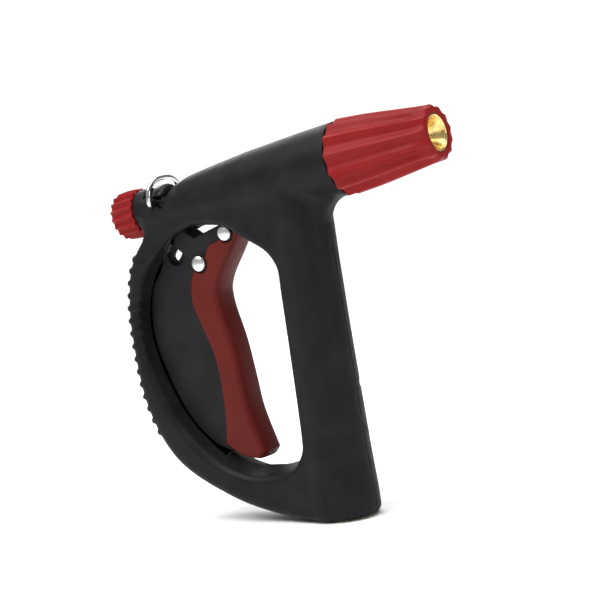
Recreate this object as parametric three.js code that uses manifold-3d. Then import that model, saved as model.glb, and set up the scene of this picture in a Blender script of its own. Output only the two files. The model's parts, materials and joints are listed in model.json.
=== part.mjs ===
// D-handle hose nozzle with a rear trigger, built as separate solids.
// Millimetres, +Z up, +X the way the water leaves, Y = 0 the plane where the two handle shells meet.
// The hose column stands upright on the Z axis, and its rim is at Z = 0.
import * as THREE from 'three';
import { mergeVertices } from 'three/addons/utils/BufferGeometryUtils.js';
import Module from 'manifold-3d';

const wasm = await Module();
wasm.setup();

// ---------- driving dimensions ----------
const GAP = 0.3;                        // running gap between neighbouring pieces
const WALL = 2.4;                       // shell wall

const BARREL_TILT = THREE.MathUtils.degToRad(6);
const BARREL_HEIGHT = 174.7;            // barrel axis above the rim, on the Z axis
const TIP_BACK = 28.6;                  // places along the barrel axis, measured from the Z axis
const TIP_FRONT = 82.5;
const NECK_FRONT = -74;
const COLLAR_FRONT = -91;
const COLLAR_BACK = -98;
const KNOB_BACK = -112.6;

const ARM_HALF_WIDTH = 14;
const ARM_EDGE = 5;                     // rounding of the handle's long edges

const COLUMN_PROFILE = [[17, 0], [17.2, 2.4], [17.4, 11], [16.6, 33], [15.3, 88], [14.7, 128], [14.7, 172]];
const BARREL_PROFILE = [[10.6, -76], [11.6, -66], [13.5, -49], [15.6, -26], [17.4, 5], [18.3, 28.2]];
const NECK_RADIUS = 11.3;

const TUBE_RADIUS = 7.5;                // water tube in the column
const TUBE_BORE = 5.5;
const CHAMBER_RADIUS = 8.6;             // water chamber in the barrel
const CHAMBER_BORE = 6.4;
const SPOUT_FRONT = 60;

const PIVOT = [-43.2, 148.8];           // trigger pivot, X and Z
const LINK_LOW = [-62.1, 134.7];        // lower end of the pull link
const CHEEK_RADIUS = 5.4;
const CHEEK_CORNER = [-66, 142];        // the cheeks' third corner, and the end of their horn
const HORN_END = [-72.5, 146.8];
const YOKE_AT = -84;                    // yoke pin along the barrel axis
const YOKE_DROP = 6;                    // yoke pin below the barrel axis
const LEVER_HALF = 3.5;
const CHEEK_HALF = 6.2;
const HUB_HALF = 8.2;
const GRIP_HALF = 8.6;
const LUG_HALF = 3;
const LINK_HALF = 2.5;
const RIVET_RADIUS = 2;
const RIVET_HEAD = 4.1;

const HOSE_BORE = 12.8;                 // inside the thread crests of a 3/4 inch garden hose socket
const SOCKET_RADIUS = 14.4;
const SOCKET_TOP = 20;

const STEM_RADIUS = 2;
const DOME_RADIUS = 9.9;                // the yoke's dome under the bail
const KNOB_SCREW = 4.6;

const BAIL_AT = -84.5;
const BAIL_ABOVE = 1.6;
const BAIL_WIRE = 1.4;
const BAIL_HALF = 13.3;
const BAIL_HEIGHT = 13.3;
const BAIL_LEAN = THREE.MathUtils.degToRad(10);         // forward of square to the barrel
const SEAT_AT = 52;                     // valve seat along the barrel axis

// ---------- colours ----------
const finish = (color, roughness, metalness) => new THREE.MeshStandardMaterial({ color, roughness, metalness });
const BLACK = finish(0x2b2c2f, 0.6, 0);
const GLOSS_BLACK = finish(0x151517, 0.25, 0);
const LEVER_BLACK = finish(0x292c2d, 0.55, 0);
const RED = finish(0xa52a2c, 0.45, 0);
const GRIP_RED = finish(0x75251f, 0.6, 0);
const BRASS = finish(0xc9a94a, 0.3, 1);
const ZINC = finish(0x9a9c9e, 0.45, 1);
const STEEL = finish(0xb9bcbf, 0.3, 1);
const CHROME = finish(0xd6d8da, 0.1, 1);
const RUBBER = finish(0x17181a, 0.85, 0);

// ---------- solids ----------
function solid(geometry) {
  const plain = geometry.clone();
  plain.deleteAttribute('normal');
  plain.deleteAttribute('uv');
  const merged = mergeVertices(plain, 1e-4);
  return new wasm.Manifold(new wasm.Mesh({
    numProp: 3,
    vertProperties: new Float32Array(merged.attributes.position.array),
    triVerts: new Uint32Array(merged.index.array),
  }));
}

function geometryOf(manifold) {
  const mesh = manifold.getMesh();
  const geometry = new THREE.BufferGeometry();
  geometry.setAttribute('position', new THREE.BufferAttribute(new Float32Array(mesh.vertProperties), 3));
  geometry.setIndex(new THREE.BufferAttribute(new Uint32Array(mesh.triVerts), 1));
  geometry.computeVertexNormals();
  return geometry;
}

const join = (first, ...rest) => rest.reduce((sum, next) => sum.add(next), first);
const cut = (first, ...rest) => rest.reduce((sum, next) => sum.subtract(next), first);

// A solid of revolution about +Y from [radius, height] points; the profile closes itself.
function turned(profile, segments) {
  const points = [...profile, profile[0]].map(([r, h]) => new THREE.Vector2(r, h));
  return new THREE.LatheGeometry(points, segments);
}

// [radius, along] points run up one side and are closed along the axis.
const filled = (profile) => [[0, profile[0][1]], ...profile, [0, profile.at(-1)[1]]];

// A ring with the same bore from end to end.
const ring = (inner, outer, from, to) => [[inner, from], [outer, from], [outer, to], [inner, to]];

const onColumn = (geometry) => geometry.rotateX(Math.PI / 2);

const onBarrel = (geometry) => geometry
  .rotateZ(-Math.PI / 2)
  .rotateY(-BARREL_TILT)
  .translate(0, 0, BARREL_HEIGHT);

const barrelTurned = (profile, segments = 28) => solid(onBarrel(turned(profile, segments)));
const columnTurned = (profile, segments = 28) => solid(onColumn(turned(profile, segments)));

// The point at a place along the barrel and a height above its axis.
function barrelPoint(along, above = 0) {
  return [
    along * Math.cos(BARREL_TILT) - above * Math.sin(BARREL_TILT),
    BARREL_HEIGHT + along * Math.sin(BARREL_TILT) + above * Math.cos(BARREL_TILT),
  ];
}

// A side-view shape in X and Z, as thick as twice `half`, with its edges rounded and its outline grown.
function slab(shape, half, { edge = 0.4, steps = 1, grow = 0, curve = 3 } = {}) {
  const geometry = new THREE.ExtrudeGeometry(shape, {
    depth: 2 * (half - edge),
    bevelThickness: edge,
    bevelSize: edge,
    bevelOffset: grow - edge,
    bevelSegments: steps,
    curveSegments: curve,
  });
  return solid(geometry.translate(0, 0, edge - half).rotateX(Math.PI / 2));
}

// A cutter for a side-view opening whose long edges come out rounded.
function flared(shape, half, edge) {
  const geometry = new THREE.ExtrudeGeometry(shape, {
    depth: 2 * (half - edge),
    bevelThickness: edge,
    bevelSize: -edge,
    bevelOffset: edge,
    bevelSegments: 2,
    curveSegments: 3,
  });
  return solid(geometry.translate(0, 0, edge - half).rotateX(Math.PI / 2));
}

// A cylinder across the handle, from one Y to another.
function across([x, z], radius, fromY, toY, segments = 16) {
  const rod = new THREE.CylinderGeometry(radius, radius, toY - fromY, segments);
  return solid(rod.translate(x, (fromY + toY) / 2, z));
}

function block(x0, x1, y0, y1, z0, z1) {
  const box = new THREE.BoxGeometry(x1 - x0, y1 - y0, z1 - z0);
  return solid(box.translate((x0 + x1) / 2, (y0 + y1) / 2, (z0 + z1) / 2));
}

// A block square to the barrel, in places along the axis and heights above it.
function barrelBlock(from, to, half, low, high) {
  const box = new THREE.BoxGeometry(to - from, 2 * half, high - low);
  box.translate((from + to) / 2, 0, (low + high) / 2);
  return solid(box.rotateY(-BARREL_TILT).translate(0, 0, BARREL_HEIGHT));
}

// The outline of a bar with round ends.
function barShape([x0, z0], [x1, z1], radius) {
  const angle = Math.atan2(z1 - z0, x1 - x0);
  const shape = new THREE.Shape();
  shape.absarc(x0, z0, radius, angle + Math.PI / 2, angle + 1.5 * Math.PI);
  shape.absarc(x1, z1, radius, angle - Math.PI / 2, angle + Math.PI / 2);
  return shape;
}

// An outline from runs of points that share their ends: two points make a straight line, more a smooth curve.
function splineShape(runs) {
  const shape = new THREE.Shape();
  shape.moveTo(...runs[0][0]);
  for (const run of runs) {
    if (run.length === 2) {
      shape.lineTo(...run[1]);
    } else {
      shape.splineThru(run.slice(1).map(([x, z]) => new THREE.Vector2(x, z)));
    }
  }
  return shape;
}

const group = new THREE.Group();
group.name = 'hose_nozzle';

function place(name, material, manifold) {
  const mesh = new THREE.Mesh(geometryOf(manifold), material);
  mesh.name = name;
  group.add(mesh);
}

// ---------- handle shells ----------
const ARM_BACK = [[-96.8, 149.8], [-101.6, 142.5], [-107.6, 128], [-111.2, 102], [-108.2, 62.7],
  [-92.9, 32.5], [-61.1, 12.4], [-29.5, 2.2], [-13.3, 0.4]];
const OPENING_BACK = [[-62, 154.6], [-80, 146.9], [-97, 121.2], [-100.3, 95], [-87.5, 59.2], [-67, 36.3],
  [-50, 28], [-36, 27.1], [-24.5, 28.8], [-16.5, 32], [-12.7, 36.5], [-12, 42]];
const OPENING_TOP = [[-12, 118], [-12, 127.5], [-14.8, 133.4], [-21.5, 139.3], [-31.8, 146.8], [-42, 152.6],
  [-62, 154.6]];

function openingShape() {
  return splineShape([OPENING_BACK, [OPENING_BACK.at(-1), OPENING_TOP[0]], OPENING_TOP]);
}

function armShape() {
  const shape = new THREE.Shape();
  shape.moveTo(-90, 157);
  shape.lineTo(-95.4, 153.4);
  shape.lineTo(...ARM_BACK[0]);
  shape.splineThru(ARM_BACK.slice(1).map(([x, z]) => new THREE.Vector2(x, z)));
  shape.lineTo(0, 0.4);
  shape.lineTo(0, 166);
  shape.lineTo(-60, 160);
  shape.closePath();
  return shape;
}

const offsetProfile = (profile, by) => profile.map(([r, h]) => [r + by, h]);

const SCREWS = [
  { at: [-93.5, 148.2], head: 8.5, tip: -8 },
  { at: [-84.5, 33.5], head: 9.5, tip: -8 },
  { at: [-38, 15], head: 9.5, tip: -8 },
  { at: [-9.9, 108], head: 6, tip: -6 },
  { at: [11.2, 66], head: 6, tip: -6 },
  { at: barrelPoint(-18, 12), head: 6, tip: -6 },
];
const NOTCH = [-88.5, 139.5];           // a finger notch in the opening's edge, on the left side only
const NOTCH_RADIUS = 5.5;
const SCREW_HEAD = 2.7;

const BUMPS = 15;
const BUMP_START = 0.047;               // places along the arm's back, as shares of its length
const BUMP_PITCH = 0.0322;
const BUMP_HALF = 12;
const BUMP_WIDTH = 3;
const BUMP_HEIGHT = 1.2;

// Low ribs that run over the arm's back and round both of its edges.
function gripBumps() {
  const curve = new THREE.SplineCurve(ARM_BACK.map(([x, z]) => new THREE.Vector2(x, z)));
  const bumps = [];
  for (let i = 0; i < BUMPS; i += 1) {
    const place = BUMP_START + BUMP_PITCH * i;
    const spot = curve.getPointAt(place);
    const tangent = curve.getTangentAt(place);
    const box = new THREE.BoxGeometry(6, 2 * BUMP_HALF, BUMP_WIDTH).rotateY(Math.atan2(tangent.x, tangent.y));
    bumps.push(solid(box.translate(spot.x, 0, spot.y)));
  }
  const raised = slab(armShape(), ARM_HALF_WIDTH, { edge: ARM_EDGE, steps: 2, grow: BUMP_HEIGHT });
  return raised.intersect(join(...bumps));
}

function handleSolid() {
  const outside = join(
    cut(
      slab(armShape(), ARM_HALF_WIDTH, { edge: ARM_EDGE, steps: 2 }),
      flared(openingShape(), ARM_HALF_WIDTH, 4),
      across(NOTCH, NOTCH_RADIUS, 4, 20, 28),
    ),
    columnTurned(filled(COLUMN_PROFILE), 36),
    barrelTurned(filled(BARREL_PROFILE), 36),
    barrelTurned(filled([[NECK_RADIUS, COLLAR_BACK], [NECK_RADIUS, NECK_FRONT + 4]])),
    gripBumps(),
  );
  const inside = join(
    cut(
      slab(armShape(), ARM_HALF_WIDTH - WALL, { edge: 2, grow: -WALL }),
      slab(openingShape(), ARM_HALF_WIDTH, { grow: WALL }),
      across(NOTCH, NOTCH_RADIUS + WALL, -20, 20, 28),
    ),
    columnTurned(filled(offsetProfile([[17.3, -1], ...COLUMN_PROFILE.slice(2)], -WALL))),
    barrelTurned(filled([...offsetProfile(BARREL_PROFILE, -WALL), [18.3 - WALL, 30]])),
    barrelTurned(filled([[9, COLLAR_BACK + 1.6], [9, NECK_FRONT + 6]])),
  );
  const bosses = join(...SCREWS.map(({ at }) => across(at, 4, -20, 20, 20)));
  const holes = join(...SCREWS.map(({ at, head, tip }) => join(
    across(at, 1.5 + GAP, tip - 1, 20, 12),
    across(at, SCREW_HEAD + GAP, head - GAP, 20, 16),
  )));
  const waterTubes = join(
    barrelTurned(filled([[CHAMBER_RADIUS + GAP, -62], [CHAMBER_RADIUS + GAP, 40]])),
    columnTurned(filled([[TUBE_RADIUS + GAP, 20], [TUBE_RADIUS + GAP, 172]])),
  );
  const leverSlot = slab(openingShape(), LEVER_HALF + 1, { grow: 5 })
    .intersect(block(-120, -66.5, -10, 10, 10, 153));
  const cheekSlot = cheeks(CHEEK_HALF + 0.8, 3.2);
  const triggerSlot = block(-55, -26, -GRIP_HALF - 0.8, GRIP_HALF + 0.8, 138, 160);
  const linkSlot = slab(barShape(LINK_LOW, barrelPoint(YOKE_AT - 3, -YOKE_DROP), 7), LINK_HALF + 1.2)
    .intersect(block(-100, -60, -10, 10, 140, 170));
  const yokeSlot = barrelBlock(-95, -76, LINK_HALF + 2.4, -12.5, 0);
  const bailWindow = join(
    barrelBlock(COLLAR_FRONT, NECK_FRONT - 2, 20, 5.2, 20),
    barrelBlock(BAIL_AT + 2.5, NECK_FRONT - 3, 20, 4.3, 6),
    barrelBlock(NECK_FRONT - 3, NECK_FRONT + 0.5, 20, 9.2, 20),
    barrelTurned(ring(DOME_RADIUS, 20, BAIL_AT + 2.5, NECK_FRONT - 4.5), 36)
      .intersect(barrelBlock(BAIL_AT, NECK_FRONT, 20, -1.5, 5)),
  );
  const bailHoles = across(barrelPoint(BAIL_AT, BAIL_ABOVE), BAIL_WIRE + 0.3, -20, 20, 12);
  const knobHole = barrelTurned(filled([[KNOB_SCREW + GAP, COLLAR_BACK - 2], [KNOB_SCREW + GAP, COLLAR_BACK + 4]]), 24);
  return cut(
    join(cut(outside, inside), bosses.intersect(outside)),
    holes, waterTubes, leverSlot, cheekSlot, triggerSlot, linkSlot, yokeSlot, bailWindow, bailHoles, knobHole,
  );
}

// ---------- chrome bail ----------
// A wire loop over the neck: a squarish arch on two legs whose feet turn inwards.
function bailSolid() {
  const foot = BAIL_HALF - 3;
  const shoulder = 3;
  const squareness = 2.5;
  const path = new THREE.CurvePath();
  const corner = (y0, z0, yc, zc, y1, z1) => path.add(new THREE.QuadraticBezierCurve3(
    new THREE.Vector3(0, y0, z0), new THREE.Vector3(0, yc, zc), new THREE.Vector3(0, y1, z1),
  ));
  const straight = (y0, z0, y1, z1) => path.add(new THREE.LineCurve3(
    new THREE.Vector3(0, y0, z0), new THREE.Vector3(0, y1, z1),
  ));
  straight(-foot, 0, -BAIL_HALF + 1.5, 0);
  corner(-BAIL_HALF + 1.5, 0, -BAIL_HALF, 0, -BAIL_HALF, 1.5);
  straight(-BAIL_HALF, 1.5, -BAIL_HALF, shoulder);
  const arch = [];
  const steps = 16;
  for (let i = 0; i <= steps; i += 1) {
    const angle = Math.PI * (1 - i / steps);
    const across = Math.cos(angle);
    const up = Math.max(Math.sin(angle), 0);
    arch.push(new THREE.Vector3(
      0,
      BAIL_HALF * Math.sign(across) * Math.abs(across) ** (2 / squareness),
      shoulder + (BAIL_HEIGHT - shoulder) * up ** (2 / squareness),
    ));
  }
  path.add(new THREE.CatmullRomCurve3(arch));
  straight(BAIL_HALF, shoulder, BAIL_HALF, 1.5);
  corner(BAIL_HALF, 1.5, BAIL_HALF, 0, BAIL_HALF - 1.5, 0);
  straight(BAIL_HALF - 1.5, 0, foot, 0);
  const wire = new THREE.Shape();
  wire.absarc(0, 0, BAIL_WIRE, 0, 2 * Math.PI);
  const geometry = new THREE.ExtrudeGeometry(wire, { extrudePath: path, steps: 40, curveSegments: 4 });
  const [x, z] = barrelPoint(BAIL_AT, BAIL_ABOVE);
  return solid(geometry.rotateY(BAIL_LEAN - BARREL_TILT).translate(x, 0, z));
}

// ---------- water path ----------
function waterBodySolid() {
  const lugTop = barrelPoint(-43, -CHAMBER_RADIUS + 1.5);
  const outside = join(
    barrelTurned(filled([[CHAMBER_RADIUS, -61], [CHAMBER_RADIUS, 34], [9, 34], [9, SPOUT_FRONT]])),
    columnTurned(filled([[TUBE_RADIUS, SOCKET_TOP + GAP], [TUBE_RADIUS, 172]])),
    slab(barShape(PIVOT, lugTop, 5.4), LUG_HALF, { curve: 4 }),
  );
  const inside = join(
    barrelTurned(filled([[CHAMBER_BORE, -52], [CHAMBER_BORE, SEAT_AT - 3], [3.6, SEAT_AT], [3.6, SPOUT_FRONT + 1]])),
    barrelTurned(filled([[STEM_RADIUS + GAP, -58], [STEM_RADIUS + GAP, -50]]), 20),
    barrelTurned(filled([[5.2, -64], [5.2, -56]]), 28),
    columnTurned(filled([[TUBE_BORE, SOCKET_TOP - 1], [TUBE_BORE, 170]]), 32),
  );
  const tipGroove = barrelTurned(ring(7.6, 10, 49, 51));
  const tubeGroove = columnTurned(ring(6.3, 9, 24, 25.4));
  return cut(outside, inside, tipGroove, tubeGroove, across(PIVOT, RIVET_RADIUS + GAP, -5, 5));
}

function inletSocketSolid() {
  const skirt = ring(HOSE_BORE, SOCKET_RADIUS, 1.5, SOCKET_TOP - 4);
  const roof = filled([[SOCKET_RADIUS, SOCKET_TOP - 5], [SOCKET_RADIUS, SOCKET_TOP], [9.5, SOCKET_TOP],
    [9.5, SOCKET_TOP + 10]]);
  return cut(
    join(columnTurned(skirt), columnTurned(roof)),
    columnTurned(filled([[9.4, SOCKET_TOP - 6], [9.4, SOCKET_TOP - 3], [6.2, SOCKET_TOP - 3], [6.2, SOCKET_TOP + 1]])),
    columnTurned(filled([[TUBE_RADIUS + GAP, SOCKET_TOP], [TUBE_RADIUS + GAP, SOCKET_TOP + 11]])),
  );
}

// ---------- valve ----------
function valveStemSolid() {
  const profile = [
    [STEM_RADIUS, -103], [STEM_RADIUS, 45.4], [4.4, 45.4], [4.4, 47.4], [3.2, 47.4], [3.2, 49.6], [4.2, 49.6],
    [2.8, 51.4], [1.5, 52.9], [1.5, 72], [0.9, 74],
  ];
  return barrelTurned(filled(profile), 24);
}

function stemYokeSolid() {
  const barrel = barrelTurned(ring(STEM_RADIUS + GAP, 8.4, YOKE_AT - 4.5, YOKE_AT + 5.5), 36);
  const domeProfile = [[STEM_RADIUS + GAP, YOKE_AT - 2.9], [DOME_RADIUS, YOKE_AT - 2.9], [DOME_RADIUS, YOKE_AT + 1.5],
    [9.2, YOKE_AT + 4], [8, YOKE_AT + 5.5], [STEM_RADIUS + GAP, YOKE_AT + 5.5]];
  const saddle = barrelTurned(domeProfile, 36).intersect(barrelBlock(YOKE_AT - 9, YOKE_AT + 9, 12, 5.5, 12));
  const foot = barrelBlock(YOKE_AT - 3.4, YOKE_AT + 3.4, LINK_HALF + 2, -YOKE_DROP - 3.4, -3);
  const slot = barrelBlock(YOKE_AT - 9, YOKE_AT + 9, LINK_HALF + GAP, -14, -STEM_RADIUS - 0.3);
  const pin = across(barrelPoint(YOKE_AT, -YOKE_DROP), 1.5 + GAP, -10, 10, 16);
  return cut(join(barrel, saddle, foot), slot, pin);
}

function springSolid(radius, wire, from, to, turns) {
  const points = [];
  const perTurn = 10;
  for (let i = 0; i <= turns * perTurn; i += 1) {
    const angle = (i / perTurn) * 2 * Math.PI;
    const height = from + ((to - from) * i) / (turns * perTurn);
    points.push(new THREE.Vector3(radius * Math.cos(angle), height, radius * Math.sin(angle)));
  }
  const section = new THREE.Shape();
  section.absarc(0, 0, wire, 0, 2 * Math.PI);
  const geometry = new THREE.ExtrudeGeometry(section, {
    extrudePath: new THREE.CatmullRomCurve3(points),
    steps: turns * perTurn,
    curveSegments: 3,
  });
  return solid(onBarrel(geometry));
}

// ---------- trigger ----------
const LEVER_OUTLINE = [
  [[-64, 146], [-79, 147], [-87, 140]],
  [[-87, 140], [-92, 132], [-99.4, 121], [-101.6, 95], [-89.5, 60], [-75, 42], [-64, 36]],
  [[-64, 36], [-56, 36]],
  [[-56, 36], [-53.5, 56], [-54, 84], [-60, 108], [-61, 120], [-56, 130], [-50, 140]],
  [[-50, 140], [-64, 146]],
];
const LEVER_RECESS = [-80, 139.8];      // a round recess on both sides, with a short slot through its thin web
const LEVER_HOLE = [[-81.3, 139], [-79.7, 140.8]];
const GRIP_OUTLINE = [
  [[-48.8, 145.4], [-55.3, 143.2], [-58.6, 138.3], [-68, 129.3], [-71, 116], [-67.3, 102.6], [-62, 86],
    [-60.6, 68], [-61.4, 52], [-63.2, 40.4]],
  [[-63.2, 40.4], [-53.5, 33.8], [-42, 31.5]],
  [[-42, 31.5], [-38.6, 35.5]],
  [[-38.6, 35.5], [-44.4, 56], [-46.2, 72], [-48.6, 92], [-53, 113], [-51.6, 124], [-41.5, 138.5], [-33, 150]],
  [[-33, 150], [-37.5, 153]],
  [[-37.5, 153], [-48.8, 145.4]],
];

// The cheek plates: a rounded triangle over both rivets, with a horn that follows the pull link up.
function cheeks(half, grow = 0) {
  const corner = (at) => across(at, CHEEK_RADIUS + grow, -half, half, 20);
  return join(
    wasm.Manifold.hull([corner(PIVOT), corner(LINK_LOW), corner(CHEEK_CORNER)]),
    wasm.Manifold.hull([corner(CHEEK_CORNER), corner(HORN_END)]),
  );
}

function triggerLeverSolid() {
  const linkTop = barrelPoint(YOKE_AT, -YOKE_DROP);
  const body = join(
    slab(splineShape(LEVER_OUTLINE), LEVER_HALF),
    cheeks(CHEEK_HALF),
    across(PIVOT, 4.7, -HUB_HALF, HUB_HALF),
    across(LINK_LOW, 4.7, -HUB_HALF, HUB_HALF),
  );
  const lugSpace = slab(barShape(PIVOT, [-43, 165], 6.2), LUG_HALF + GAP, { curve: 4 });
  const linkSpace = join(
    slab(barShape(LINK_LOW, linkTop, 4.3), LINK_HALF + GAP, { curve: 4 }),
    slab(barShape(LINK_LOW, [linkTop[0] - 5, linkTop[1] - 4], 4.3), LINK_HALF + GAP, { curve: 4 }),
  );
  return cut(
    body, lugSpace, linkSpace,
    slab(barShape(...LEVER_HOLE, 2), 12, { curve: 4 }),
    across(LEVER_RECESS, 5.2, -12, -1, 28),
    across(LEVER_RECESS, 5.2, 1, 12, 28),
    across(PIVOT, RIVET_RADIUS + GAP, -12, 12),
    across(LINK_LOW, RIVET_RADIUS + GAP, -12, 12),
  );
}

function triggerGripSolid() {
  const body = slab(splineShape(GRIP_OUTLINE), GRIP_HALF, { edge: 2, steps: 2, curve: 3 });
  return cut(
    body,
    slab(splineShape(LEVER_OUTLINE), LEVER_HALF + GAP, { grow: GAP }),
    cheeks(CHEEK_HALF + GAP, GAP),
    across(PIVOT, 4.7 + GAP, -12, 12),
    across(LINK_LOW, 4.7 + GAP, -12, 12),
    slab(barShape(PIVOT, [-43, 165], 6.4), LUG_HALF + 2 * GAP, { curve: 4 }),
  );
}

// A shank with a domed head at each end.
function rivetSolid(at) {
  const base = HUB_HALF + GAP;
  const rise = 2.1;
  const profile = [[0, -base - rise]];
  const steps = 3;
  for (let i = 1; i <= steps; i += 1) {
    const angle = (i / steps) * Math.PI / 2;
    profile.push([RIVET_HEAD * Math.sin(angle), -base - rise * Math.cos(angle)]);
  }
  profile.push([RIVET_RADIUS, -base], [RIVET_RADIUS, base]);
  for (let i = steps; i >= 1; i -= 1) {
    const angle = (i / steps) * Math.PI / 2;
    profile.push([RIVET_HEAD * Math.sin(angle), base + rise * Math.cos(angle)]);
  }
  profile.push([0, base + rise]);
  const points = profile.map(([r, y]) => new THREE.Vector2(r, y));
  return solid(new THREE.LatheGeometry(points, 20).translate(at[0], 0, at[1]));
}

function pullLinkSolid() {
  const top = barrelPoint(YOKE_AT, -YOKE_DROP);
  return cut(
    slab(barShape(LINK_LOW, top, 3.2), LINK_HALF, { curve: 4 }),
    across(LINK_LOW, RIVET_RADIUS + GAP, -5, 5),
    across(top, 1.5 + 0.45, -5, 5),
  );
}

// ---------- twist tip and knob ----------
// Ribs along a turned piece: the radius of every outer point rises and falls around the axis.
// `side` is 1 for a rib at the top of the piece and -1 for one at the bottom.
function ribbed(geometry, ribs, depth, side, isOuter) {
  const position = geometry.attributes.position;
  for (let i = 0; i < position.count; i += 1) {
    const x = position.getX(i);
    const y = position.getY(i);
    const z = position.getZ(i);
    const radius = Math.hypot(x, z);
    if (isOuter(radius, y)) {
      const wave = 0.5 + 0.5 * Math.cos(ribs * Math.atan2(x, side * z));
      const scale = (radius - depth * (1 - wave)) / radius;
      position.setXYZ(i, x * scale, y, z * scale);
    }
  }
  return geometry;
}

const TIP_RIBS = 13;
const KNOB_RIBS = 17;

function twistTipSolid() {
  const profile = [
    [17, TIP_BACK], [19.2, TIP_BACK], [17.8, 46], [14, 76], [13.7, 81.5], [12.8, TIP_FRONT],
    [9.4, TIP_FRONT], [9.4, 66.3], [11.3, 66.3], [11.3, 33], [17, 31],
  ];
  const geometry = ribbed(turned(profile, TIP_RIBS * 4), TIP_RIBS, 1.1, 1, (radius, y) => radius > 12.5 && y < 80
    && !(radius < 17.1 && y < 31.1));
  return solid(onBarrel(geometry));
}

function brassNozzleSolid() {
  const profile = [
    [9.35, 36], [11, 36], [11, 66], [9.1, 66], [9.1, 82], [8, 82], [3.4, 73], [3.4, 68], [9.35, 62.5],
  ];
  return barrelTurned(profile, 32);
}

function flowKnobSolid() {
  const front = COLLAR_BACK - 0.6;
  const profile = [[3, KNOB_BACK], [12.2, KNOB_BACK], [12.9, -105], [12.6, front], [5, front], [5, -109], [3, -109]];
  const geometry = ribbed(turned(profile, KNOB_RIBS * 3), KNOB_RIBS, 1.5, -1, (radius) => radius > 6);
  return solid(onBarrel(geometry));
}

const knobScrewSolid = () => barrelTurned(ring(STEM_RADIUS + GAP, KNOB_SCREW, -108.7, -93.2), 24);

// ---------- build ----------
const handle = handleSolid();
place('shell_right', BLACK, handle.intersect(block(-150, 60, -40, -GAP / 2, -10, 220)));
place('shell_left', BLACK, handle.intersect(block(-150, 60, GAP / 2, 40, -10, 220)));
SCREWS.forEach(({ at, head, tip }, i) => {
  const screw = join(across(at, 1.5, tip, head + 1, 12), across(at, SCREW_HEAD, head, head + 2, 16));
  place(`shell_screw_${i + 1}`, STEEL, screw);
});

place('water_body', ZINC, waterBodySolid());
place('inlet_socket', BRASS, inletSocketSolid());
place('hose_washer', RUBBER, columnTurned(ring(8, 12.6, 12, 14.7)));
place('inlet_screen', STEEL, columnTurned(ring(1.5, 9.1, 15.3, 15.9), 24));
place('tube_o_ring', RUBBER, columnTurned(ring(6.5, 7.7, 24.2, 25.2), 24));
place('packing_ring', RUBBER, barrelTurned(ring(STEM_RADIUS + 0.1, 4.8, -57.8, -56.3), 24));
place('packing_nut', BRASS, barrelTurned([[STEM_RADIUS + GAP, -66], [6.4, -66], [6.4, -61.4], [4.9, -61.4],
  [4.9, -58.2], [STEM_RADIUS + GAP, -58.2]], 24));

place('valve_stem', BRASS, valveStemSolid());
place('valve_seal', RUBBER, barrelTurned(ring(3.4, 5.4, 47.6, 49.4), 24));
place('stem_spring', STEEL, springSolid(6.6, 0.55, -95.6, -89.4, 3));
place('stem_yoke', GLOSS_BLACK, stemYokeSolid());
place('stem_clip', STEEL, barrelTurned(ring(STEM_RADIUS + 0.15, 3.9, YOKE_AT + 5.8, YOKE_AT + 6.8), 20));
place('yoke_pin', STEEL, across(barrelPoint(YOKE_AT, -YOKE_DROP), 1.5, -4.4, 4.4, 16));

place('pull_link', LEVER_BLACK, pullLinkSolid());
place('link_rivet', STEEL, rivetSolid(LINK_LOW));
place('pivot_rivet', STEEL, rivetSolid(PIVOT));
place('trigger_lever', LEVER_BLACK, triggerLeverSolid());
place('trigger_grip', GRIP_RED, triggerGripSolid());

place('twist_tip', RED, twistTipSolid());
place('brass_nozzle', BRASS, brassNozzleSolid());
place('tip_o_ring', RUBBER, barrelTurned(ring(7.9, 9.25, 49.3, 50.7), 32));
place('flow_knob', RED, flowKnobSolid());
place('knob_screw', BRASS, knobScrewSolid());
place('bail_wire', CHROME, bailSolid());

export default group;
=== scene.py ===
"""Looks of the D-handle hose nozzle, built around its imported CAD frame.

Shapes are worked out in millimetres, in the frame's own axes: +Z up, +X the way the water leaves and
Y = 0 the plane where the two handle shells meet. Round pieces are turned or swept, and moulded ones
are the zero surface of a distance field, so that their edges and joins are properly rounded.
"""

import json
import math

import bmesh
import bpy
import numpy as np
from mathutils import Matrix, Vector


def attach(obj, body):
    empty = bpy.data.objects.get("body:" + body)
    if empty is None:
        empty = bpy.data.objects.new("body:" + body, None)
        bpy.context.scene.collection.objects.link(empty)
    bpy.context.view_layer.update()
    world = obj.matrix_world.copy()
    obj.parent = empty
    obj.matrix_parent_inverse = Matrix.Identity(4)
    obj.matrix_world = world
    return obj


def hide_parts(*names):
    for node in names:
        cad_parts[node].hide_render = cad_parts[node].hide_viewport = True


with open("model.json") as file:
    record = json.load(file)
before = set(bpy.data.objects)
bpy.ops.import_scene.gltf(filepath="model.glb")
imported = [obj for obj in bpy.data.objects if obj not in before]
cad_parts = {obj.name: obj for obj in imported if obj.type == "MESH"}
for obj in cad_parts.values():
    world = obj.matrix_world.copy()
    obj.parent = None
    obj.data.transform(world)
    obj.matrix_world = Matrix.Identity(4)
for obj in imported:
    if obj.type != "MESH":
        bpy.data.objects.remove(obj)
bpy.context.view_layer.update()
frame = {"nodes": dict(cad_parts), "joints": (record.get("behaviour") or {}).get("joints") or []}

MM = 0.001
JOINTS = {joint["name"]: joint for joint in frame["joints"]}


def joint_place(name):
    """Where a joint sits in side view, as X and Z in millimetres."""
    x, _, z = JOINTS[name]["pos_m"]
    return x / MM, z / MM


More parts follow.
